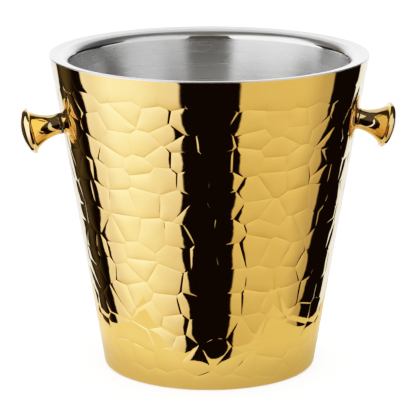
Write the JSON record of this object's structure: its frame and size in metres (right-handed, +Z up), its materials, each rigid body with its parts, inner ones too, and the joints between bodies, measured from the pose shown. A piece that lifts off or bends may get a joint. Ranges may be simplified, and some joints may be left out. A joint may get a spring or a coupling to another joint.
{
  "type": "ice bucket",
  "caption": "Double-walled tapered ice bucket with a hammered gold-tone shell, a steel liner with a wide rim, and flared side knobs for carrying it.",
  "frame": {"origin": "middle of the foot, on the surface that the bucket stands on", "axes": "+Z up along the bucket's axis; the knobs stand on the X axis; the bucket is the same seen from -Y and +Y"},
  "size_m": [0.2608, 0.2198, 0.2194],
  "materials": {
    "gold_hammered": "mirror-polished gold-tone plating over a hand-hammered pattern",
    "gold_knob": "turned and mirror-polished gold-tone",
    "steel_liner": "satin flange, polished mouth bend, wall brushed round the axis",
    "steel_base": "pressed sheet, fine satin",
    "zinc_fastener": "bright zinc plating",
    "black_rubber": "matt moulded rubber",
    "sealant": "grey smoothed sealant"
  },
  "bodies": {
    "root": {"outer_shell": "gold_hammered", "liner": "steel_liner", "base_plate": "steel_base", "rim_bond": "sealant", "base_bond": "sealant", "right_knob": "gold_knob", "right_knob_gasket": "black_rubber", "right_knob_saddle": "zinc_fastener", "right_knob_lock_washer": "zinc_fastener", "right_knob_screw": "zinc_fastener", "left_knob": "gold_knob", "left_knob_gasket": "black_rubber", "left_knob_saddle": "zinc_fastener", "left_knob_lock_washer": "zinc_fastener", "left_knob_screw": "zinc_fastener"}
  },
  "joints": []
}
